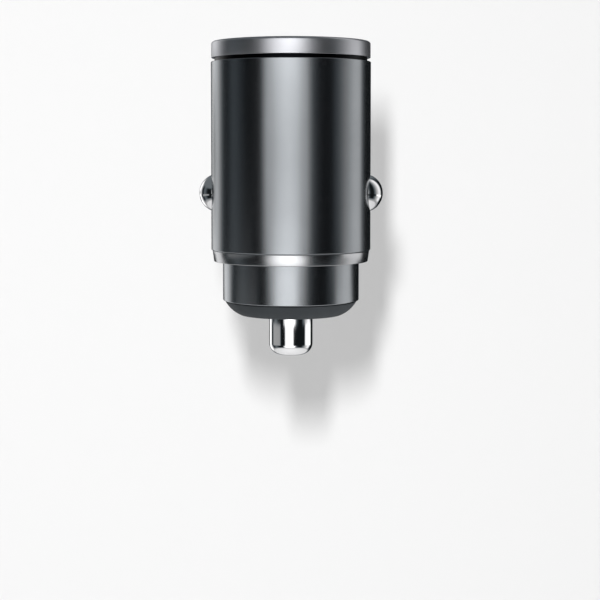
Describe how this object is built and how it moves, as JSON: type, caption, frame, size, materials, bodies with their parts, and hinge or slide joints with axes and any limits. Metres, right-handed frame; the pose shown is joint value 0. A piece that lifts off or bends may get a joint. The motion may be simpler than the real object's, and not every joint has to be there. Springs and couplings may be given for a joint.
{
  "type": "car usb charger plug",
  "caption": "Round metal plug for a vehicle's 12 V socket, with a sprung centre pin, sprung ball contacts at the sides and USB-A and USB-C ports in its end face.",
  "frame": {"origin": "on the axis of the plug, at the tip of the centre pin", "axes": "+Z from the centre pin to the USB face; the sprung side contacts lie along X; the USB-A port is on the +Y side of the face"},
  "size_m": [0.024, 0.0208, 0.0408],
  "materials": {
    "barrel_metal": "glossy dark gunmetal plating with a fine polished grain",
    "bezel_metal": "satin gunmetal with a turned grain",
    "face_plastic": "fine spark-eroded matte",
    "tip_plastic": "matte dark grey moulding",
    "frame_plastic": "matte",
    "pin_chrome": "mirror nickel plating",
    "contact_chrome": "polished steel ball",
    "port_shell": "tin-plated sheet",
    "usb_a_insulator": "smooth moulding",
    "usb_c_insulator": "smooth moulding",
    "gold_contacts": "gold-flashed strip",
    "lens": "milky clear light guide",
    "led_body": "clear resin on a white base",
    "board_laminate": "solder mask over woven laminate",
    "capacitor_can": "sleeved can",
    "inductor_block": "pressed powder block",
    "chip_black": "moulded package",
    "ceramic": "fired ceramic",
    "brass_parts": "plain turned and stamped brass",
    "spring_steel": "drawn wire"
  },
  "bodies": {
    "housing": {"body_barrel": "barrel_metal", "bezel_ring": "bezel_metal", "port_plate": "face_plastic", "status_lens": "lens", "status_led": "led_body", "usb_a_shell": "port_shell", "usb_a_tongue": "usb_a_insulator", "usb_a_contacts": "gold_contacts", "usb_c_shell": "port_shell", "usb_c_tongue": "usb_c_insulator", "usb_c_contacts": "gold_contacts", "board_carrier": "frame_plastic", "main_board": "board_laminate", "input_capacitor": "capacitor_can", "power_inductor": "inductor_block", "controller_chip": "chip_black", "port_chip": "chip_black", "power_transistors": "chip_black", "small_components": "ceramic", "ground_clip": "brass_parts", "left_contact_spring": "spring_steel", "left_contact_cup": "brass_parts", "right_contact_spring": "spring_steel", "right_contact_cup": "brass_parts", "nose_sleeve": "barrel_metal", "tip_insulator": "tip_plastic", "pin_spring": "spring_steel", "pin_terminal": "brass_parts"},
    "tip": {"centre_pin": "pin_chrome"},
    "left_contact": {"left_contact_ball": "contact_chrome"},
    "right_contact": {"right_contact_ball": "contact_chrome"}
  },
  "joints": [
    {"name": "pin_press", "type": "slide", "parent": "housing", "child": "tip", "axis": [0, 0, 1], "range_m": [0, 0.0025], "stiffness_N_per_m": 500, "springref_m": -0.006, "deforming": ["pin_spring"]},
    {"name": "left_contact_press", "type": "slide", "parent": "housing", "child": "left_contact", "axis": [1, 0, 0], "range_m": [0, 0.0015], "stiffness_N_per_m": 200, "springref_m": -0.005, "deforming": ["left_contact_spring"]},
    {"name": "right_contact_press", "type": "slide", "parent": "housing", "child": "right_contact", "axis": [-1, 0, 0], "range_m": [0, 0.0015], "stiffness_N_per_m": 200, "springref_m": -0.005, "deforming": ["right_contact_spring"]}
  ]
}
